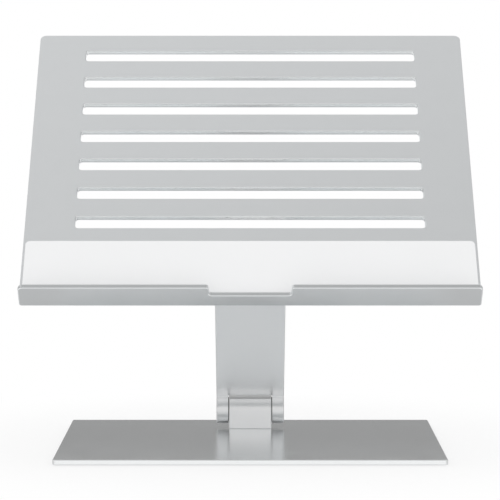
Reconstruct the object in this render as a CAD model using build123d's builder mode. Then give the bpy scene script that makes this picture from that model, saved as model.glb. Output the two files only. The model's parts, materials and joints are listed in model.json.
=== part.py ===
from build123d import *
import os
from math import cos, radians, sin, sqrt

os.makedirs("parts", exist_ok=True)

# Adjustable laptop stand: a base plate, an arm and a tray, joined by two friction hinges.
# Sizes are in millimetres and degrees. X runs to the right, Y away from the user and Z up.
# The origin is on the desk, under the middle of the base plate.

# Base plate and the mat let into its underside
base_width = 240.0
base_depth = 171.5
base_thickness = 3.2
base_corner_radius = 1.5
base_edge_chamfer = 0.4
mat_thickness = 1.0
mat_recess = 0.5
mat_inset = 8.0
mat_corner_radius = 5.0
mat_clearance = 0.2

# Tray plate, measured along its top face from the outside of the lip
tray_width = 280.0
tray_length = 233.3
tray_thickness = 3.6
tray_corner_radius = 4.0
tray_edge_radius = 0.4
tray_side_radius = 1.0

# Lip along the tray's front edge, with a finger notch in its middle
lip_height = 11.5
lip_drop = 1.8
lip_thickness = 2.8
lip_corner_radius = 3.0
lip_foot_radius = 1.5
lip_edge_radius = 0.8
lip_back_chamfer = 0.3
notch_width = 50.0
notch_floor = 4.3
notch_corner_radius = 2.0
notch_rim_radius = 2.0

# Slots through the tray
slot_height = 9.5
slot_pitch = 24.92
slot_side_margin = 31.2
slot_corner_radius = 2.0
slot_edge_radius = 0.9
slot_back_chamfer = 0.3
slot_hinge_gap = 4.3
slot_rear_margin = 14.0

# Silicone pad behind the lip
pad_thickness = 1.2
pad_side_margin = 1.5
pad_corner_radius = 3.0
pad_lip_gap = 0.2
pad_screw_cover = 5.3
pad_edge_radius = 0.4

# Pin, bushes and friction stack, the same in both hinges
pin_diameter = 6.0
pin_head_overhang = 2.5
pin_head_height = 2.8
pin_socket_flats = 4.0
pin_socket_depth = 1.8
pin_fit = 0.02
running_clearance = 0.05
bush_wall = 1.5
bush_length = 12.0
washer_thickness = 0.4
washer_slack = 0.1
washer_band = 5.0
spring_thickness = 0.5
spring_cone = 0.35
spring_band = 3.15
spring_count = 2
spring_play = 0.03
nut_height = 3.2
nut_wall = 2.0
recess_clearance = 0.15
cap_thickness = 1.2
cap_slack = 0.1
cap_ledge = 0.6
cap_fit = 0.05

# Hinge blocks, the same under the tray and on the base
knuckle_width = 28.0
barrel_rim = 2.5
barrel_floor_gap = 2.3
base_hinge_setback = 32.4
tray_hinge_setback = 45.6
block_chamfer = 0.4
block_fillet = 2.0

# Countersunk screws that hold each block
screw_diameter = 4.0
screw_head_diameter = 8.0
screw_length = 8.0
screw_socket_flats = 2.5
screw_socket_depth = 1.4
screw_clearance = 0.1
screw_tip_gap = 0.5
screw_spacing_x = 18.0
screw_spacing_y = 9.0
screw_bush_wall = 0.95
screw_edge_margin = 4.5
thread_cover = 1.2

# Arm between the two hinges
arm_length = 139.7
arm_thickness = 6.0
ear_web = 1.84
arm_edge_chamfer = 0.5
arm_root_fillet = 1.5
cutout_gap = 1.4
cutout_corner_radius = 1.0

# Pose in which the stand is set up
arm_angle = 136.5
tray_tilt = 44.06

# Radii that grow outwards from the pin
pin_radius = pin_diameter / 2
bush_bore_radius = pin_radius + running_clearance
bush_radius = bush_bore_radius + bush_wall
washer_radius = bush_bore_radius + washer_band
spring_bore_radius = pin_radius + 2 * running_clearance
spring_radius = spring_bore_radius + spring_band
nut_flats = pin_diameter + 2 * nut_wall
nut_corner_radius = nut_flats / 2 / cos(radians(30))
head_radius = pin_radius + pin_head_overhang
recess_radius = max(spring_radius, nut_corner_radius, head_radius) + recess_clearance
cap_recess_radius = recess_radius + cap_ledge
barrel_radius = cap_recess_radius + barrel_rim

# Widths across the hinge, from the middle of the knuckle to the outside of the ears
spring_step = spring_thickness + spring_play
spring_stack = spring_count * spring_step + spring_cone
ear_width = cap_thickness + cap_slack + nut_height + spring_stack + ear_web
ear_inner = knuckle_width / 2 + washer_thickness + washer_slack
ear_outer = ear_inner + ear_width
arm_width = 2 * ear_outer
cap_seat = ear_outer - cap_thickness
pin_end = cap_seat - cap_slack
nut_seat = pin_end - nut_height
spring_seat = nut_seat - spring_stack
head_seat = pin_end - pin_head_height

# Heights of the base plate, and of each hinge's axis above the face that its block is screwed to
base_bottom = mat_thickness - mat_recess
base_top = base_bottom + base_thickness
base_floor = base_thickness - mat_recess
axis_height = barrel_radius + barrel_floor_gap

# Hinge block: the screws stand in a foot beside the knuckle
screw_radius = screw_diameter / 2
screw_head_radius = screw_head_diameter / 2
thread_depth = screw_length - min(base_floor, tray_thickness) + screw_tip_gap
foot_height = thread_depth + thread_cover
first_screw = bush_radius + screw_radius + screw_bush_wall
last_screw = first_screw + screw_spacing_y
middle_screw = (first_screw + last_screw) / 2
foot_end = last_screw + screw_edge_margin

# Arm: a flat plate that runs off the back of the lower barrel and onto the front of the upper one
arm_offset = 2 * barrel_radius - arm_thickness
plate_front = arm_thickness - barrel_radius
plate_root = sqrt(barrel_radius**2 - plate_front**2)
cutout_reach = barrel_radius + cutout_gap

# Directions of the arm and of the tray in the set-up pose
along_arm = Vector(0, cos(radians(arm_angle)), sin(radians(arm_angle)))
off_arm = Vector(0, -sin(radians(arm_angle)), cos(radians(arm_angle)))
along_tray = Vector(0, cos(radians(tray_tilt)), sin(radians(tray_tilt)))
off_tray = Vector(0, -sin(radians(tray_tilt)), cos(radians(tray_tilt)))
across = Vector(1, 0, 0)

# Hinge axes, and the front corner of the tray's top face that follows from them
lower_axis = Vector(0, base_depth / 2 - base_hinge_setback, base_top + axis_height)
upper_axis = lower_axis + along_arm * arm_length - off_arm * arm_offset
tray_corner = upper_axis + off_tray * (axis_height + tray_thickness) - along_tray * tray_hinge_setback

# Planes: one on each hinge axis, looking away from the plate that its block is screwed to
base_hinge = Plane(lower_axis, x_dir=across, z_dir=(0, 0, 1))
tray_hinge = Plane(upper_axis, x_dir=across, z_dir=-off_tray)
tray_top = Plane(tray_corner, x_dir=across, z_dir=off_tray)
lip_front = Plane(tray_corner, x_dir=across, z_dir=-along_tray)
arm_side = Plane(lower_axis, x_dir=along_arm, z_dir=across)

# Places along the tray that follow its hinge
pad_start = lip_thickness + pad_lip_gap
pad_end = tray_hinge_setback - first_screw + screw_head_radius + pad_screw_cover
slot_start = tray_hinge_setback + barrel_radius + slot_hinge_gap
slot_length = tray_width - 2 * slot_side_margin
slot_room = tray_length - slot_rear_margin - slot_height - slot_start
slot_count = int(slot_room / slot_pitch) + 1


def outer_face(hinge, plate):
    """Plane on the far side of the plate that a block is screwed to, looking away from the block."""
    return Plane(hinge.offset(-axis_height - plate).origin, x_dir=across, z_dir=-hinge.z_dir)


def screw_holes(hinge, plate):
    """Countersunk holes for one block's screws, drilled from the far side of its plate."""
    with Locations(outer_face(hinge, plate)):
        with Locations((0, -middle_screw)):
            with GridLocations(screw_spacing_x, screw_spacing_y, 2, 2):
                CounterSinkHole(
                    radius=screw_radius + screw_clearance,
                    counter_sink_radius=screw_head_radius + screw_clearance,
                    counter_sink_angle=90,
                )


# Base plate: milled from sheet, with a shallow recess under it for the mat
with BuildPart() as base_plate:
    with BuildSketch(Plane.XY.offset(base_bottom)):
        RectangleRounded(base_width, base_depth, base_corner_radius)
    extrude(amount=base_thickness)
    rims = base_plate.faces().sort_by(Axis.Z)
    chamfer(rims[0].edges() + rims[-1].edges(), base_edge_chamfer)
    with BuildSketch(Plane.XY.offset(base_bottom)):
        RectangleRounded(base_width - 2 * mat_inset, base_depth - 2 * mat_inset, mat_corner_radius)
    extrude(amount=mat_recess, mode=Mode.SUBTRACT)
    screw_holes(base_hinge, base_floor)

base_plate.part.label = "base_plate"
export_step(base_plate.part, "parts/base_plate.step")

# Mat: one sheet of silicone that the stand rests on
with BuildPart() as base_mat:
    with BuildSketch(Plane.XY):
        RectangleRounded(
            base_width - 2 * (mat_inset + mat_clearance),
            base_depth - 2 * (mat_inset + mat_clearance),
            mat_corner_radius - mat_clearance,
        )
    extrude(amount=mat_thickness)

base_mat.part.label = "base_mat"
export_step(base_mat.part, "parts/base_mat.step")

# Lip: the bar along the tray's front edge, rounded in front and chamfered behind
with BuildPart() as lip_bar:
    with BuildSketch(lip_front) as lip:
        with Locations((0, (lip_height - tray_thickness - lip_drop) / 2)):
            Rectangle(tray_width, lip_height + tray_thickness + lip_drop)
        fillet(lip.vertices().group_by(Axis.Y)[-1], lip_corner_radius)
        fillet(lip.vertices().group_by(Axis.Y)[0], lip_foot_radius)
        with BuildSketch(mode=Mode.SUBTRACT) as notch:
            with Locations((0, (notch_floor + lip_height) / 2)):
                Rectangle(notch_width, lip_height - notch_floor)
            fillet(notch.vertices().group_by(Axis.Y)[0], notch_corner_radius)
        fillet(lip.vertices().group_by(Axis.Y)[-1].sort_by(Axis.X)[1:-1], notch_rim_radius)
    extrude(amount=-lip_thickness)
    front, back = lip_bar.faces().filter_by(lip_front).sort_by(Axis(tray_corner, along_tray))
    fillet(front.edges(), lip_edge_radius)
    chamfer(back.edges(), lip_back_chamfer)

# Tray: one plate in one piece with its lip, slotted to let air through
with BuildPart() as tray:
    with BuildSketch(tray_top) as outline:
        with Locations((0, (lip_thickness / 2 + tray_length) / 2)):
            Rectangle(tray_width, tray_length - lip_thickness / 2)
        fillet(outline.vertices().group_by(Axis.Y)[-1], tray_corner_radius)
    extrude(amount=-tray_thickness)
    underside, topside = tray.faces().filter_by(tray_top).sort_by(Axis(tray_corner, off_tray))
    fillet(underside.edges().filter_by(Axis(tray_corner, along_tray)), tray_side_radius)
    topside = tray.faces().filter_by(tray_top).sort_by(Axis(tray_corner, off_tray))[-1]
    fillet(topside.edges() - topside.edges().filter_by(Axis.X).sort_by(Axis.Z)[:1], tray_edge_radius)
    add(lip_bar.part)
    with BuildSketch(tray_top) as slots:
        with Locations((0, slot_start + slot_height / 2 + slot_pitch * (slot_count - 1) / 2)):
            with GridLocations(0, slot_pitch, 1, slot_count):
                RectangleRounded(slot_length, slot_height, slot_corner_radius)
    extrude(amount=-tray_thickness, mode=Mode.SUBTRACT)
    slotted = tray.faces().filter_by(tray_top).sort_by(SortBy.AREA)[-2:]
    underside, topside = slotted.sort_by(Axis(tray_corner, off_tray))
    chamfer([edge for wire in underside.inner_wires() for edge in wire.edges()], slot_back_chamfer)
    fillet([edge for wire in topside.inner_wires() for edge in wire.edges()], slot_edge_radius)
    screw_holes(tray_hinge, tray_thickness)

tray.part.label = "tray"
export_step(tray.part, "parts/tray.step")

# Front pad: a sheet of silicone stuck to the tray behind the lip, over the block's screws
with BuildPart() as front_pad:
    with BuildSketch(tray_top) as pad_outline:
        with Locations((0, (pad_start + pad_end) / 2)):
            Rectangle(tray_width - 2 * pad_side_margin, pad_end - pad_start)
        fillet(pad_outline.vertices().group_by(Axis.Y)[-1], pad_corner_radius)
    extrude(amount=pad_thickness)
    pad_top = front_pad.faces().filter_by(tray_top).sort_by(Axis(tray_corner, off_tray))[-1]
    fillet(pad_top.edges(), pad_edge_radius)

front_pad.part.label = "front_pad"
export_step(front_pad.part, "parts/front_pad.step")

# Hinge blocks: cut from one extrusion, bored for the bushes and tapped for the screws
for place, hinge in (("base", base_hinge), ("tray", tray_hinge)):
    block_side = Plane(hinge.origin, x_dir=hinge.y_dir, z_dir=across)
    with BuildPart() as hinge_block:
        with BuildSketch(block_side) as block_profile:
            with BuildLine():
                Line((-barrel_radius, -axis_height), (-barrel_radius, 0))
                ThreePointArc((-barrel_radius, 0), (0, barrel_radius), (barrel_radius, 0))
                Line((barrel_radius, 0), (barrel_radius, foot_height - axis_height))
                Line((barrel_radius, foot_height - axis_height), (foot_end, foot_height - axis_height))
                Line((foot_end, foot_height - axis_height), (foot_end, -axis_height))
                Line((foot_end, -axis_height), (-barrel_radius, -axis_height))
            make_face()
            shoulder = block_profile.vertices().group_by(Axis.Y)[1].sort_by(Axis.X)
            fillet(shoulder, block_fillet)
            chamfer(block_profile.vertices().group_by(Axis.Y)[0], block_chamfer)
        extrude(amount=knuckle_width / 2, both=True)
        ends = hinge_block.faces().sort_by(Axis.X)
        chamfer(ends[0].edges() + ends[-1].edges(), block_chamfer)
        with BuildSketch(block_side):
            Circle(bush_radius)
        extrude(amount=knuckle_width / 2, both=True, mode=Mode.SUBTRACT)
        with BuildSketch(hinge.offset(-axis_height)):
            with Locations((0, middle_screw)):
                with GridLocations(screw_spacing_x, screw_spacing_y, 2, 2):
                    Circle(screw_radius)
        extrude(amount=thread_depth, mode=Mode.SUBTRACT)

    hinge_block.part.label = f"{place}_hinge_block"
    export_step(hinge_block.part, f"parts/{place}_hinge_block.step")

# Block screws: four countersunk screws for each block, with hexagon sockets
for place, hinge, plate in (("base", base_hinge, base_floor), ("tray", tray_hinge, tray_thickness)):
    with BuildPart(hinge.offset(-axis_height - plate)) as hinge_screws:
        with Locations((0, middle_screw)):
            with GridLocations(screw_spacing_x, screw_spacing_y, 2, 2):
                Cylinder(screw_radius, screw_length, align=(Align.CENTER, Align.CENTER, Align.MIN))
                Cone(
                    screw_head_radius,
                    screw_radius,
                    screw_head_radius - screw_radius,
                    align=(Align.CENTER, Align.CENTER, Align.MIN),
                )
        with BuildSketch(hinge.offset(-axis_height - plate)):
            with Locations((0, middle_screw)):
                with GridLocations(screw_spacing_x, screw_spacing_y, 2, 2):
                    RegularPolygon(screw_socket_flats / 2, 6, major_radius=False)
        extrude(amount=screw_socket_depth, mode=Mode.SUBTRACT)

    hinge_screws.part.label = f"{place}_hinge_screws"
    export_step(hinge_screws.part, f"parts/{place}_hinge_screws.step")

# Bushes: two bronze sleeves pressed into each block's knuckle, flush with its sides
for place, hinge in (("base", base_hinge), ("tray", tray_hinge)):
    for side, start in (("left", -knuckle_width / 2), ("right", knuckle_width / 2 - bush_length)):
        with BuildPart() as bush:
            with BuildSketch(Plane(hinge.origin, x_dir=hinge.y_dir, z_dir=across).offset(start)):
                Circle(bush_radius)
                Circle(bush_bore_radius, mode=Mode.SUBTRACT)
            extrude(amount=bush_length)

        bush.part.label = f"{place}_bush_{side}"
        export_step(bush.part, f"parts/{place}_bush_{side}.step")

# Arm: one piece, with a barrel at each end that is forked to take a knuckle between two ears
with BuildPart() as arm:
    with BuildSketch(arm_side) as arm_profile:
        with BuildLine():
            Line((0, -barrel_radius), (arm_length - plate_root, -barrel_radius))
            ThreePointArc(
                (arm_length - plate_root, -barrel_radius),
                (arm_length, -arm_offset - barrel_radius),
                (arm_length, plate_front),
            )
            Line((arm_length, plate_front), (plate_root, plate_front))
            ThreePointArc((plate_root, plate_front), (0, barrel_radius), (0, -barrel_radius))
        make_face()
        roots = [(plate_root, plate_front), (arm_length - plate_root, -barrel_radius)]
        fillet([arm_profile.vertices().sort_by_distance(root)[0] for root in roots], arm_root_fillet)
    extrude(amount=arm_width / 2, both=True)
    sides = arm.faces().sort_by(Axis.X)
    chamfer(sides[0].edges() + sides[-1].edges(), arm_edge_chamfer)
    for axis, reach in ((lower_axis, along_arm), (upper_axis, -along_arm)):
        pin_side = Plane(axis, z_dir=across)
        fork = Plane(axis, x_dir=across, z_dir=across.cross(reach))
        with BuildSketch(fork) as cutout:
            with Locations((0, (cutout_reach - 2 * barrel_radius) / 2)):
                Rectangle(2 * ear_inner, cutout_reach + 2 * barrel_radius)
            fillet(cutout.vertices().group_by(Axis.Y)[-1], cutout_corner_radius)
        extrude(amount=2 * barrel_radius, both=True, mode=Mode.SUBTRACT)
        with BuildSketch(pin_side.offset(-ear_outer)):
            Circle(pin_radius + pin_fit)
        extrude(amount=arm_width, mode=Mode.SUBTRACT)
        with BuildSketch(pin_side.offset(-ear_outer), pin_side.offset(cap_seat)):
            Circle(cap_recess_radius)
        extrude(amount=cap_thickness, mode=Mode.SUBTRACT)
        with BuildSketch(pin_side.offset(-cap_seat)):
            Circle(recess_radius)
        extrude(amount=cap_seat - head_seat, mode=Mode.SUBTRACT)
        with BuildSketch(pin_side.offset(spring_seat)):
            Circle(recess_radius)
        extrude(amount=cap_seat - spring_seat, mode=Mode.SUBTRACT)

arm.part.label = "arm"
export_step(arm.part, "parts/arm.step")

# Hinge hardware: the same stack runs across both barrels, from the pin's head on the left to the nut
for place, axis in (("lower", lower_axis), ("upper", upper_axis)):
    pin_side = Plane(axis, z_dir=across)

    # Pin: a headed bolt that turns with the arm
    with BuildPart() as hinge_pin:
        with BuildSketch(pin_side.offset(-pin_end)):
            Circle(head_radius)
        extrude(amount=pin_head_height)
        with BuildSketch(pin_side.offset(-head_seat)):
            Circle(pin_radius)
        extrude(amount=head_seat + pin_end)
        with BuildSketch(pin_side.offset(-pin_end)):
            RegularPolygon(pin_socket_flats / 2, 6, major_radius=False)
        extrude(amount=pin_socket_depth, mode=Mode.SUBTRACT)

    hinge_pin.part.label = f"{place}_hinge_pin"
    export_step(hinge_pin.part, f"parts/{place}_hinge_pin.step")

    # Friction washers: one against the inside of each ear
    for side, start in (("left", -ear_inner), ("right", ear_inner - washer_thickness)):
        with BuildPart() as friction_washer:
            with BuildSketch(pin_side.offset(start)):
                Circle(washer_radius)
                Circle(bush_bore_radius, mode=Mode.SUBTRACT)
            extrude(amount=washer_thickness)

        friction_washer.part.label = f"{place}_friction_washer_{side}"
        export_step(friction_washer.part, f"parts/{place}_friction_washer_{side}.step")

    # Disc springs: shallow cones nested in one another, between the ear and the nut
    with BuildPart() as disc_springs:
        for turn in range(spring_count):
            seat = spring_seat + turn * spring_step
            with BuildSketch(Plane(axis, x_dir=along_arm, z_dir=along_arm.cross(across))):
                with BuildLine():
                    Polyline(
                        (spring_bore_radius, seat + spring_cone),
                        (spring_radius, seat),
                        (spring_radius, seat + spring_thickness),
                        (spring_bore_radius, seat + spring_cone + spring_thickness),
                        close=True,
                    )
                make_face()
            revolve(axis=Axis(axis, across))

    disc_springs.part.label = f"{place}_disc_springs"
    export_step(disc_springs.part, f"parts/{place}_disc_springs.step")

    # Lock nut: a thin hexagon nut on the end of the pin
    with BuildPart() as lock_nut:
        with BuildSketch(pin_side.offset(nut_seat)):
            RegularPolygon(nut_flats / 2, 6, major_radius=False)
            Circle(pin_radius, mode=Mode.SUBTRACT)
        extrude(amount=nut_height)

    lock_nut.part.label = f"{place}_lock_nut"
    export_step(lock_nut.part, f"parts/{place}_lock_nut.step")

    # Caps: turned discs pressed flush into the ears
    for side, start in (("left", -ear_outer), ("right", cap_seat)):
        with BuildPart() as hinge_cap:
            with BuildSketch(pin_side.offset(start)):
                Circle(cap_recess_radius - cap_fit)
            extrude(amount=cap_thickness)

        hinge_cap.part.label = f"{place}_cap_{side}"
        export_step(hinge_cap.part, f"parts/{place}_cap_{side}.step")
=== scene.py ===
import bpy
import json
from math import cos, radians, sin
from mathutils import Matrix, Vector


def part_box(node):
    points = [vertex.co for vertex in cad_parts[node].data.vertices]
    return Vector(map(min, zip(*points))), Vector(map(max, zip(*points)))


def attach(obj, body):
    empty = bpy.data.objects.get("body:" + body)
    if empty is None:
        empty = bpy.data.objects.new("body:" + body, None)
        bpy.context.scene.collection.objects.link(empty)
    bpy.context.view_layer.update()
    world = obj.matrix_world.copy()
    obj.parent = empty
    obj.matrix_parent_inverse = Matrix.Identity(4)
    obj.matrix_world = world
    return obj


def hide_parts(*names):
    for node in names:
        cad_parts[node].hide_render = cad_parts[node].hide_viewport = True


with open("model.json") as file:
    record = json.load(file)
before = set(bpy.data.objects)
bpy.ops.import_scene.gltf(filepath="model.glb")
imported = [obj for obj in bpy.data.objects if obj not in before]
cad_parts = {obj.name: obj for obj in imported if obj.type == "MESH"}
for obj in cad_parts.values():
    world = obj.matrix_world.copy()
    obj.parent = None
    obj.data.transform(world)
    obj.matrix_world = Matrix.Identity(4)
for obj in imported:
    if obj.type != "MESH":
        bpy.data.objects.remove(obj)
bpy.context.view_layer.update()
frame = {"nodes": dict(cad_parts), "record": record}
bpy.ops.object.select_all(action="DESELECT")

# Base plate. A sheet of aluminium, milled to size with its rims broken, then blasted with fine beads
# and anodised in its natural silver. Its underside and lower rim are painted darker, a painted shade
# where the plate meets the floor. Blasting leaves an even grain far finer than a pixel, and the
# anodising a faint cloudiness in tone and gloss.
def node_group(name, inputs, outputs):
    """A new node group with named sockets, returned with its two ends."""
    group = bpy.data.node_groups.new(name, "ShaderNodeTree")
    for in_out, sockets in (("INPUT", inputs), ("OUTPUT", outputs)):
        for socket, kind in sockets.items():
            group.interface.new_socket(name=socket, in_out=in_out, socket_type=kind)
    return group, group.nodes.new("NodeGroupInput"), group.nodes.new("NodeGroupOutput")


# The grain: a noise for the beads' marks and a broad one for the clouds
grain, grain_in, grain_out = node_group(
    "Fine Grain",
    inputs={
        "Tone": "NodeSocketColor",
        "Cloud Tone": "NodeSocketColor",
        "Roughness": "NodeSocketFloat",
        "Roughness Change": "NodeSocketFloat",
        "Grain Scale": "NodeSocketFloat",
    },
    outputs={"Color": "NodeSocketColor", "Roughness": "NodeSocketFloat", "Height": "NodeSocketFloat"},
)
grain_place = grain.nodes.new("ShaderNodeTexCoord")
clouds = grain.nodes.new("ShaderNodeTexNoise")
clouds.inputs["Scale"].default_value = 45
clouds.inputs["Detail"].default_value = 3
beads = grain.nodes.new("ShaderNodeTexNoise")
beads.inputs["Detail"].default_value = 1
cloud_mix = grain.nodes.new("ShaderNodeMix")
cloud_mix.data_type = "RGBA"
bead_shift = grain.nodes.new("ShaderNodeMath")
bead_shift.operation = "SUBTRACT"
bead_shift.inputs[1].default_value = 0.5
bead_rough = grain.nodes.new("ShaderNodeMath")
bead_rough.operation = "MULTIPLY_ADD"
grain.links.new(grain_place.outputs["Object"], clouds.inputs["Vector"])
grain.links.new(grain_place.outputs["Object"], beads.inputs["Vector"])
grain.links.new(grain_in.outputs["Grain Scale"], beads.inputs["Scale"])
grain.links.new(clouds.outputs["Fac"], cloud_mix.inputs["Factor"])
grain.links.new(grain_in.outputs["Tone"], cloud_mix.inputs["A"])
grain.links.new(grain_in.outputs["Cloud Tone"], cloud_mix.inputs["B"])
grain.links.new(cloud_mix.outputs["Result"], grain_out.inputs["Color"])
grain.links.new(clouds.outputs["Fac"], bead_shift.inputs[0])
grain.links.new(bead_shift.outputs["Value"], bead_rough.inputs[0])
grain.links.new(grain_in.outputs["Roughness Change"], bead_rough.inputs[1])
grain.links.new(grain_in.outputs["Roughness"], bead_rough.inputs[2])
grain.links.new(bead_rough.outputs["Value"], grain_out.inputs["Roughness"])
grain.links.new(beads.outputs["Fac"], grain_out.inputs["Height"])


def finish(name, tone, cloud_tone, roughness, metallic=1, grain_scale=3200, depth=0.000002):
    """A material with a fine grain and a faint cloudiness; tones run from tone to cloud_tone."""
    material = bpy.data.materials.new(name)
    material.use_nodes = True
    nodes, links = material.node_tree.nodes, material.node_tree.links
    surface = nodes["Principled BSDF"]
    surface.inputs["Metallic"].default_value = metallic
    texture = nodes.new("ShaderNodeGroup")
    texture.name = "Grain"
    texture.node_tree = grain
    texture.inputs["Tone"].default_value = (*tone, 1)
    texture.inputs["Cloud Tone"].default_value = (*cloud_tone, 1)
    texture.inputs["Roughness"].default_value = roughness
    texture.inputs["Roughness Change"].default_value = 0.08
    texture.inputs["Grain Scale"].default_value = grain_scale
    relief = nodes.new("ShaderNodeBump")
    relief.inputs["Strength"].default_value = 1
    relief.inputs["Distance"].default_value = depth
    links.new(texture.outputs["Color"], surface.inputs["Base Color"])
    links.new(texture.outputs["Roughness"], surface.inputs["Roughness"])
    links.new(texture.outputs["Height"], relief.inputs["Height"])
    links.new(relief.outputs["Normal"], surface.inputs["Normal"])
    return material


def dress(material, *nodes):
    """Gives CAD nodes their material."""
    for node in nodes:
        frame["nodes"][node].data.materials.clear()
        frame["nodes"][node].data.materials.append(material)


# A mask over one part of a piece, such as a rim, a face or the walls of a cut
part_mask, mask_in, mask_out = node_group(
    "Part Mask",
    inputs={"Direction": "NodeSocketVector", "Low": "NodeSocketFloat", "High": "NodeSocketFloat"},
    outputs={"By Place": "NodeSocketFloat", "By Facing": "NodeSocketFloat"},
)
mask_place = part_mask.nodes.new("ShaderNodeTexCoord")
for name, measure in (("By Place", "Object"), ("By Facing", "Normal")):
    distance = part_mask.nodes.new("ShaderNodeVectorMath")
    distance.operation = "DOT_PRODUCT"
    ramp = part_mask.nodes.new("ShaderNodeMapRange")
    part_mask.links.new(mask_place.outputs[measure], distance.inputs[0])
    part_mask.links.new(mask_in.outputs["Direction"], distance.inputs[1])
    part_mask.links.new(distance.outputs["Value"], ramp.inputs["Value"])
    part_mask.links.new(mask_in.outputs["Low"], ramp.inputs["From Min"])
    part_mask.links.new(mask_in.outputs["High"], ramp.inputs["From Max"])
    part_mask.links.new(ramp.outputs["Result"], mask_out.inputs[name])

# Painted shade and painted highlight: a part's tone multiplied by a strength under a mask
painted_tone_group, painted_in, painted_out = node_group(
    "Painted Shade And Highlight",
    inputs={"Color": "NodeSocketColor", "Mask": "NodeSocketFloat", "Strength": "NodeSocketFloat"},
    outputs={"Color": "NodeSocketColor"},
)
painted_mix = painted_tone_group.nodes.new("ShaderNodeMix")
painted_mix.data_type = "RGBA"
painted_mix.blend_type = "MULTIPLY"
painted_tone_group.links.new(painted_in.outputs["Color"], painted_mix.inputs["A"])
painted_tone_group.links.new(painted_in.outputs["Mask"], painted_mix.inputs["Factor"])
painted_tone_group.links.new(painted_in.outputs["Strength"], painted_mix.inputs["B"])
painted_tone_group.links.new(painted_mix.outputs["Result"], painted_out.inputs["Color"])


def rising(material, direction, low, high, measure="By Place"):
    """A mask that goes from 0 at low to 1 at high, by a piece's place in metres or by its normal."""
    mask = material.node_tree.nodes.new("ShaderNodeGroup")
    mask.node_tree = part_mask
    mask.inputs["Direction"].default_value = direction
    mask.inputs["Low"].default_value = low
    mask.inputs["High"].default_value = high
    return mask.outputs[measure]


def beyond(material, direction, limit, blur=0.00005):
    """A mask that is 1 where a piece reaches further along a direction than a limit in metres."""
    return rising(material, direction, limit - blur, limit + blur)


def shade(material, mask, strength):
    """Multiplies a material's tone by a strength where a mask is 1: a painted shade below 1, a painted
    highlight above.
    """
    tone = material.node_tree.nodes["Principled BSDF"].inputs["Base Color"]
    painted = material.node_tree.nodes.new("ShaderNodeGroup")
    painted.node_tree = painted_tone_group
    painted.inputs["Strength"].default_value = strength
    material.node_tree.links.new(mask, painted.inputs["Mask"])
    material.node_tree.links.new(tone.links[0].from_socket, painted.inputs["Color"])
    material.node_tree.links.new(painted.outputs["Color"], tone)


base_metal = finish("Base plate aluminium", (0.92, 0.935, 0.94), (0.95, 0.965, 0.97), 0.22)
down = Vector((0, 0, -1))
lower_rim_top = 0.0009
lower_rim_painted_shade = 0.8
# Painted shade: the underside and lower rim of the plate are darkened here.
shade(base_metal, beyond(base_metal, down, -lower_rim_top), lower_rim_painted_shade)
dress(base_metal, "base_plate")

# Mat. A sheet of dark silicone stuck into the shallow recess under the base plate. It is moulded with
# a plain rim and rows of low square pips, which grip the desk.
mat_low, mat_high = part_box("base_mat")
mat_middle = (mat_low + mat_high) / 2
mat_size = mat_high - mat_low
mat_corner_radius = 0.0048
mat_rim = 0.003
pip_height = 0.0002
pip_pitch = 0.006
pip_size = 0.0042
pip_corner = 0.0006
pip_root = 0.5 * pip_height
bpy.ops.mesh.primitive_plane_add(size=1, location=(mat_middle.x, mat_middle.y, mat_low.z))
mat = bpy.context.object
mat.name = "anti_slip_mat"
mat.scale = (mat_size.x, mat_size.y, 1)
bpy.ops.object.transform_apply(location=True, rotation=True, scale=True)
bpy.ops.object.mode_set(mode="EDIT")
bpy.ops.mesh.select_all(action="SELECT")
bpy.ops.mesh.bevel(offset=mat_corner_radius, offset_type="OFFSET", segments=8, affect="VERTICES")
bpy.ops.mesh.select_all(action="SELECT")
bpy.ops.mesh.extrude_region_move(TRANSFORM_OT_translate={"value": (0, 0, mat_size.z)})
bpy.ops.mesh.select_all(action="SELECT")
bpy.ops.mesh.normals_make_consistent(inside=False)
bpy.ops.mesh.select_all(action="DESELECT")
bpy.ops.object.mode_set(mode="OBJECT")
for face in mat.data.polygons:
    face.select = face.normal.z < -0.9
bpy.ops.object.mode_set(mode="EDIT")
bpy.ops.mesh.select_mode(type="FACE")
bpy.ops.mesh.inset(thickness=mat_rim, depth=0)
bpy.ops.mesh.extrude_region_move(TRANSFORM_OT_translate={"value": (0, 0, pip_height)})
bpy.ops.object.mode_set(mode="OBJECT")
mat.select_set(False)
columns = int((mat_size.x - 2 * mat_rim - 2 * pip_pitch + pip_size) / pip_pitch)
rows = int((mat_size.y - 2 * mat_rim - 2 * pip_pitch + pip_size) / pip_pitch)
first_pip = (
    mat_middle.x - pip_pitch * (columns - 1) / 2,
    mat_middle.y - pip_pitch * (rows - 1) / 2,
    mat_low.z + (pip_height + pip_root) / 2,
)
pip_block = (pip_size, pip_size, pip_height + pip_root)
bpy.ops.mesh.primitive_cube_add(size=1, location=first_pip, scale=pip_block)
pips = bpy.context.object
bpy.ops.object.transform_apply(location=False, rotation=False, scale=True)
bpy.ops.object.mode_set(mode="EDIT")
bpy.ops.mesh.select_all(action="DESELECT")
bpy.ops.object.mode_set(mode="OBJECT")
for edge in pips.data.edges:
    ends = [pips.data.vertices[i].co for i in edge.vertices]
    edge.select = abs(ends[0].z - ends[1].z) > pip_height
bpy.ops.object.mode_set(mode="EDIT")
bpy.ops.mesh.select_mode(type="EDGE")
bpy.ops.mesh.bevel(offset=pip_corner, segments=2, affect="EDGES")
bpy.ops.object.mode_set(mode="OBJECT")
for name, count, step in (("Columns", columns, (pip_pitch, 0, 0)), ("Rows", rows, (0, pip_pitch, 0))):
    copies = pips.modifiers.new(name, "ARRAY")
    copies.use_relative_offset = False
    copies.use_constant_offset = True
    copies.constant_offset_displace = step
    copies.count = count
    bpy.ops.object.modifier_apply(modifier=name)
bpy.ops.object.transform_apply(location=True, rotation=True, scale=True)
mat.select_set(True)
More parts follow.
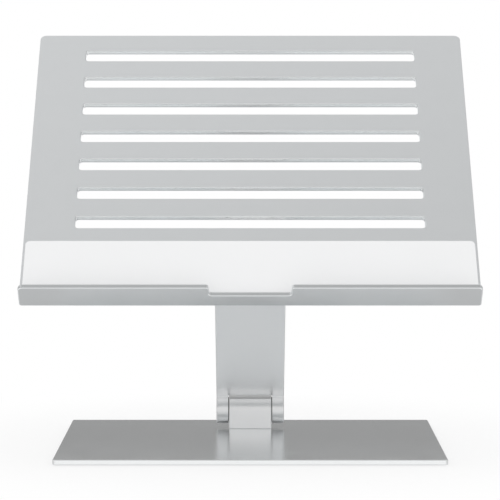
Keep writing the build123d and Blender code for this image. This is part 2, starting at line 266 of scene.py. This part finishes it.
bpy.context.view_layer.objects.active = mat
bpy.ops.object.join()
dark_silicone = finish(
    "Dark silicone", (0.035, 0.036, 0.038), (0.05, 0.051, 0.053), 0.62, metallic=0, grain_scale=1500
)
mat.data.materials.append(dark_silicone)
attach(mat, "base")
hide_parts("base_mat")
bpy.ops.object.select_all(action="DESELECT")

# Hinge blocks, one on the base and one under the tray. Each is cut from one extruded bar of aluminium,
# bored and tapped, then blasted and anodised like the plates.
block_metal = finish("Hinge block aluminium", (0.965, 0.97, 0.975), (0.985, 0.99, 0.99), 0.36)
dress(block_metal, "base_hinge_block", "tray_hinge_block")

# Block screws. Four countersunk steel screws to each block, from below through the base plate and from
# above through the tray, with a bright zinc plating that is faintly blue and yellow.
zinc = finish(
    "Bright zinc plating", (0.66, 0.69, 0.73), (0.76, 0.74, 0.66), 0.28, grain_scale=1200, depth=0.000006
)
dress(zinc, "base_hinge_screws", "tray_hinge_screws")

# Bushes. Sleeves of sintered bronze, two to each knuckle, pressed in flush with its sides. They are
# soaked in oil, and their open pores show as a fine pitting.
bronze = finish(
    "Sintered bronze", (0.50, 0.33, 0.17), (0.62, 0.43, 0.24), 0.42, grain_scale=2600, depth=0.00002
)
dress(bronze, *[f"{place}_bush_{side}" for place in ("base", "tray") for side in ("left", "right")])

# Arm. One piece milled from thick aluminium, with a forked barrel at each end, blasted and anodised.
# The floor of each fork is painted darker, a painted shade in the recess between its ears.
def both(material, operation, first, second):
    """Two masks joined by a plain operation."""
    join = material.node_tree.nodes.new("ShaderNodeMath")
    join.operation = operation
    material.node_tree.links.new(first, join.inputs[0])
    material.node_tree.links.new(second, join.inputs[1])
    return join.outputs["Value"]


across = Vector((1, 0, 0))
arm_lean = radians(136.5)
along_arm = Vector((0, cos(arm_lean), sin(arm_lean)))
fork_half_width = 0.0143
fork_blur = 0.0003
fork_painted_shade = 0.72
floor_turn = (0.4, 0.8)
arm_metal = finish("Arm aluminium", (0.965, 0.97, 0.975), (0.985, 0.99, 0.995), 0.30)
lower_floor, upper_floor = (
    rising(arm_metal, facing, *floor_turn, "By Facing") for facing in (-along_arm, along_arm)
)
fork_floor = both(arm_metal, "MAXIMUM", lower_floor, upper_floor)
for side in (across, -across):
    in_fork = rising(arm_metal, side, fork_half_width + fork_blur, fork_half_width)
    fork_floor = both(arm_metal, "MULTIPLY", fork_floor, in_fork)
# Painted shade: the tone of each fork's floor is multiplied down here.
shade(arm_metal, fork_floor, fork_painted_shade)
dress(arm_metal, "arm")

# Pins and nuts. One headed bolt of zinc-plated steel and one thin lock nut to each hinge. The bolt goes
# through both ears and the bushes, and the nut draws the hinge together.
dress(zinc, *[f"{place}_{piece}" for place in ("lower", "upper") for piece in ("hinge_pin", "lock_nut")])

# Friction washers. Black nylon discs punched from sheet, one against the inside of each ear, where they
# rub on the knuckle's sides and hold the hinge where it is put.
nylon = finish(
    "Black nylon", (0.018, 0.018, 0.02), (0.03, 0.03, 0.032), 0.5, metallic=0, grain_scale=1800
)
for place in ("lower", "upper"):
    dress(nylon, f"{place}_friction_washer_left", f"{place}_friction_washer_right")

# Disc springs. Two shallow cones of hardened steel, nested between the ear and the nut, dark from
# tempering and oil. They keep the friction up as the washers wear.
tempered = finish("Tempered spring steel", (0.22, 0.21, 0.21), (0.32, 0.30, 0.28), 0.36, grain_scale=1500)
dress(tempered, "lower_disc_springs", "upper_disc_springs")

# Caps. Turned aluminium discs, anodised a little darker than the arm and pressed flush into its ears
# over each pin's head and each nut.
turned = finish("Cap aluminium", (0.75, 0.77, 0.775), (0.79, 0.81, 0.815), 0.27)
for place in ("lower", "upper"):
    dress(turned, f"{place}_cap_left", f"{place}_cap_right")

# Tray. A plate in one piece with its lip, blasted and anodised. The lip's front, its top and the floor of
# its notch are painted darker, a painted shade; the slots' rims carry a painted highlight and are a
# little glossier, and the feet of the slots' walls a painted shade.
laptop_face = next(mount for mount in frame["record"]["mounts"] if mount["name"] == "laptop_face")
pad_top = Vector(laptop_face["pos_m"])
pad_thickness = 0.0012
pad_depth = 0.0444
pad_gap = 0.003
off_tray = Vector(laptop_face["axis"]).normalized()
along_tray = off_tray.cross(across)
tray_face = off_tray.dot(pad_top) - pad_thickness
lip_front = along_tray.dot(pad_top) - pad_depth / 2 - pad_gap
lip_skin = 0.0008
lip_top = 0.0113
notch_top = 0.0041
notch_half_width = 0.024
rim_depth = 0.0022
square_on = (0.96, 0.98)
towards_lip = (0.1, 0.6)
tray_metal = finish("Tray aluminium", (0.86, 0.88, 0.89), (0.90, 0.92, 0.93), 0.32)
beside_notch = both(
    tray_metal, "MAXIMUM",
    beyond(tray_metal, across, notch_half_width), beyond(tray_metal, -across, notch_half_width),
)
notch_floor = both(
    tray_metal, "SUBTRACT", beyond(tray_metal, off_tray, tray_face + notch_top), beside_notch
)
lip_land_painted_shade = both(
    tray_metal, "MAXIMUM", beyond(tray_metal, off_tray, tray_face + lip_top), notch_floor
)
lip_face_painted_shade = both(
    tray_metal, "MULTIPLY",
    beyond(tray_metal, -along_tray, -lip_front - lip_skin),
    rising(tray_metal, -along_tray, *square_on, "By Facing"),
)
slot_wall = both(
    tray_metal, "MULTIPLY",
    beyond(tray_metal, along_tray, lip_front + lip_skin),
    rising(tray_metal, -along_tray, *towards_lip, "By Facing"),
)
slot_rim_highlight_and_polish = both(
    tray_metal, "MULTIPLY", slot_wall, beyond(tray_metal, off_tray, tray_face - rim_depth)
)
slot_foot_painted_shade = both(
    tray_metal, "MULTIPLY", slot_wall, beyond(tray_metal, -off_tray, rim_depth - tray_face)
)
# Painted shade on the lip's face, on its top and notch floor and at the slots' feet; painted highlight on
# the slots' rims.
for mask, strength in ((lip_face_painted_shade, 0.77), (lip_land_painted_shade, 0.78), (slot_rim_highlight_and_polish, 1.11), (slot_foot_painted_shade, 0.9)):
    shade(tray_metal, mask, strength)
nodes, links = tray_metal.node_tree.nodes, tray_metal.node_tree.links
rim_polish = -0.08
bright_cut = nodes.new("ShaderNodeMath")
bright_cut.operation = "MULTIPLY_ADD"
bright_cut.inputs[1].default_value = rim_polish
links.new(slot_rim_highlight_and_polish, bright_cut.inputs[0])
links.new(nodes["Grain"].outputs["Roughness"], bright_cut.inputs[2])
links.new(bright_cut.outputs["Value"], nodes["Principled BSDF"].inputs["Roughness"])
dress(tray_metal, "tray")

# Front pad. A flat sheet of soft white silicone with a moulded, rounded rim, stuck to the tray behind
# the lip, over the block's screws. Its rear corners are round and its face is slightly textured.
pad_low, pad_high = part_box("front_pad")
pad_width = pad_high.x - pad_low.x
pad_corner_radius = 0.003
pad_rim_radius = 0.0004
bpy.ops.mesh.primitive_plane_add(size=1)
pad = bpy.context.object
pad.name = "silicone_pad"
pad.scale = (pad_width, pad_depth, 1)
bpy.ops.object.transform_apply(location=True, rotation=True, scale=True)
for corner in pad.data.vertices:
    corner.select = corner.co.y > 0
bpy.ops.object.mode_set(mode="EDIT")
bpy.ops.mesh.select_mode(type="VERT")
bpy.ops.mesh.bevel(offset=pad_corner_radius, offset_type="OFFSET", segments=10, affect="VERTICES")
bpy.ops.mesh.select_all(action="SELECT")
bpy.ops.mesh.extrude_region_move(TRANSFORM_OT_translate={"value": (0, 0, -pad_thickness)})
bpy.ops.mesh.select_all(action="SELECT")
bpy.ops.mesh.normals_make_consistent(inside=False)
bpy.ops.mesh.select_all(action="DESELECT")
bpy.ops.object.mode_set(mode="OBJECT")
for edge in pad.data.edges:
    edge.select = all(pad.data.vertices[i].co.z > -pad_thickness / 2 for i in edge.vertices)
bpy.ops.object.mode_set(mode="EDIT")
bpy.ops.mesh.select_mode(type="EDGE")
bpy.ops.mesh.bevel(offset=pad_rim_radius, offset_type="OFFSET", segments=3, affect="EDGES")
bpy.ops.object.mode_set(mode="OBJECT")
lean = Matrix((across, along_tray, off_tray)).transposed()
pad.matrix_world = Matrix.Translation(pad_top) @ lean.to_4x4()
bpy.ops.object.transform_apply(location=True, rotation=True, scale=True)
rounded = radians(40)
bpy.ops.object.shade_smooth_by_angle(angle=rounded)
silicone = finish(
    "White silicone", (0.885, 0.89, 0.895), (0.90, 0.905, 0.91), 0.6,
    metallic=0, grain_scale=2200, depth=0.00001,
)
pad.data.materials.append(silicone)
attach(pad, "tray")
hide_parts("front_pad")
bpy.ops.object.select_all(action="DESELECT")

# Studio. A white floor under an even white sky. Close to the stand the floor keeps the stand's soft
# shadow, and further out it fades to plain white, as paper does under its own light. From below it is
# clear, so that the mat can be seen.
floor_size = 30
floor_drop = 0.0001
shadow_start = 0.15
shadow_end = 0.28
shadow_lift = 0.65
bpy.ops.mesh.primitive_plane_add(size=floor_size, location=(0, 0, -floor_drop))
floor = bpy.context.object
floor.name = "floor"
paper = bpy.data.materials.new("Studio paper")
paper.use_nodes = True
nodes, links = paper.node_tree.nodes, paper.node_tree.links
surface = nodes["Principled BSDF"]
surface.inputs["Base Color"].default_value = (0.98, 0.98, 0.98, 1)
surface.inputs["Roughness"].default_value = 1
surface.inputs["Specular IOR Level"].default_value = 0
white = nodes.new("ShaderNodeEmission")
white.inputs["Color"].default_value = (1, 1, 1, 1)
white.inputs["Strength"].default_value = 1
place = nodes.new("ShaderNodeTexCoord")
distance = nodes.new("ShaderNodeVectorMath")
distance.operation = "LENGTH"
fade = nodes.new("ShaderNodeMapRange")
fade.interpolation_type = "SMOOTHSTEP"
fade.inputs["From Min"].default_value = shadow_start
fade.inputs["From Max"].default_value = shadow_end
fade.inputs["To Min"].default_value = shadow_lift
fade.inputs["To Max"].default_value = 1
rays = nodes.new("ShaderNodeLightPath")
seen = nodes.new("ShaderNodeMath")
seen.operation = "MAXIMUM"
mirrored = nodes.new("ShaderNodeMath")
mirrored.operation = "MAXIMUM"
share = nodes.new("ShaderNodeMath")
share.operation = "MULTIPLY"
blend = nodes.new("ShaderNodeMixShader")
links.new(place.outputs["Object"], distance.inputs[0])
links.new(distance.outputs["Value"], fade.inputs["Value"])
links.new(rays.outputs["Is Camera Ray"], seen.inputs[0])
links.new(rays.outputs["Is Glossy Ray"], seen.inputs[1])
links.new(seen.outputs["Value"], mirrored.inputs[0])
links.new(rays.outputs["Is Transmission Ray"], mirrored.inputs[1])
links.new(fade.outputs["Result"], share.inputs[0])
links.new(mirrored.outputs["Value"], share.inputs[1])
links.new(share.outputs["Value"], blend.inputs["Fac"])
links.new(surface.outputs["BSDF"], blend.inputs[1])
links.new(white.outputs["Emission"], blend.inputs[2])
paper_faces = nodes.new("ShaderNodeNewGeometry")
clear = nodes.new("ShaderNodeBsdfTransparent")
one_sided = nodes.new("ShaderNodeMixShader")
links.new(paper_faces.outputs["Backfacing"], one_sided.inputs["Fac"])
links.new(blend.outputs["Shader"], one_sided.inputs[1])
links.new(clear.outputs["BSDF"], one_sided.inputs[2])
links.new(one_sided.outputs["Shader"], nodes["Material Output"].inputs["Surface"])
floor.data.materials.append(paper)

world = bpy.data.worlds.new("Studio")
bpy.context.scene.world = world
world.use_nodes = True
world.node_tree.nodes["Background"].inputs["Color"].default_value = (1, 1, 1, 1)
world.node_tree.nodes["Background"].inputs["Strength"].default_value = 1

# Cards. The metal mirrors grey cards round the stand, as in a product studio: one overhead that ends
# behind the tray, darker ones further back and at the sides, a dim and a light one low at the back, two
# behind the camera, and darker paper on the floor in front of the stand and beside it.
def reflection_card(name, tone, size, location, rotation, slope=(0, 0)):
    """A grey card that shows only in reflections; slope is its change of tone per metre, along and up."""
    bpy.ops.object.select_all(action="DESELECT")
    bpy.ops.mesh.primitive_plane_add(size=1, location=location, rotation=rotation)
    card = bpy.context.object
    card.name = name
    card.scale = (size[0], size[1], 1)
    bpy.ops.object.transform_apply(location=False, rotation=False, scale=True)
    glow = bpy.data.materials.new(name)
    glow.use_nodes = True
    nodes, links = glow.node_tree.nodes, glow.node_tree.links
    nodes.remove(nodes["Principled BSDF"])
    light = nodes.new("ShaderNodeEmission")
    place = nodes.new("ShaderNodeTexCoord")
    shift = nodes.new("ShaderNodeVectorMath")
    shift.operation = "DOT_PRODUCT"
    shift.inputs[1].default_value = (*slope, 0)
    level = nodes.new("ShaderNodeMath")
    level.operation = "ADD"
    level.inputs[1].default_value = tone
    links.new(place.outputs["Object"], shift.inputs[0])
    links.new(shift.outputs["Value"], level.inputs[0])
    links.new(level.outputs["Value"], light.inputs["Strength"])
    links.new(light.outputs["Emission"], nodes["Material Output"].inputs["Surface"])
    card.data.materials.append(glow)
    card.visible_camera = False
    card.visible_diffuse = False
    card.visible_shadow = False


upright = (radians(90), 0, 0)
sideways = (radians(90), 0, radians(90))
level = (0, 0, 0)
reflection_card("top_card", 0.595, (4, 1.8), (0, -0.3, 1.8), level, slope=(-0.07, 0.22))
reflection_card("rear_top_card", 0.42, (4, 1.6), (0, 1.4, 1.8), level)
reflection_card("low_back_card", 0.30, (1.6, 0.12), (0, 0.25, 0.06), upright, slope=(0, -0.8))
reflection_card("horizon_card", 1.1, (3, 0.3), (0, 1, 0.15), upright)
reflection_card("band_card", 0.45, (6, 0.9), (0, 2.0, 1.4), upright)
reflection_card("front_card", 0.75, (5, 0.8), (0, -2.4, 0.4), upright, slope=(0, 0.45))
reflection_card("front_high_card", 0.62, (5, 2.0), (0, -2.4, 1.8), upright)
reflection_card("front_ground_card", 0.55, (3, 1.9), (0, -1.35, 0.0003), level)
for name, side in (("left", -1), ("right", 1)):
    reflection_card(f"{name}_ground_card", 0.66, (0.7, 0.3), (side * 0.4715, 0.045, 0.0003), level)
    reflection_card(f"{name}_card", 0.45, (3, 1.5), (side * 1.7, 0.4, 0.75), sideways)

# Camera. A long lens about 1.5 m in front of the stand, nearly as high as the tray's top and looking
# slightly down, where the photograph was taken from.
eye = bpy.data.cameras.new("Camera")
camera = bpy.data.objects.new("Camera", eye)
bpy.context.scene.collection.objects.link(camera)
look_down = 4.09
camera.location = (-0.00015, -1.5261, 0.2341)
camera.rotation_euler = (radians(90 - look_down), 0, 0)
eye.sensor_width = 36
eye.lens = 172.8
bpy.context.scene.camera = camera
bpy.context.scene.view_settings.view_transform = "Standard"
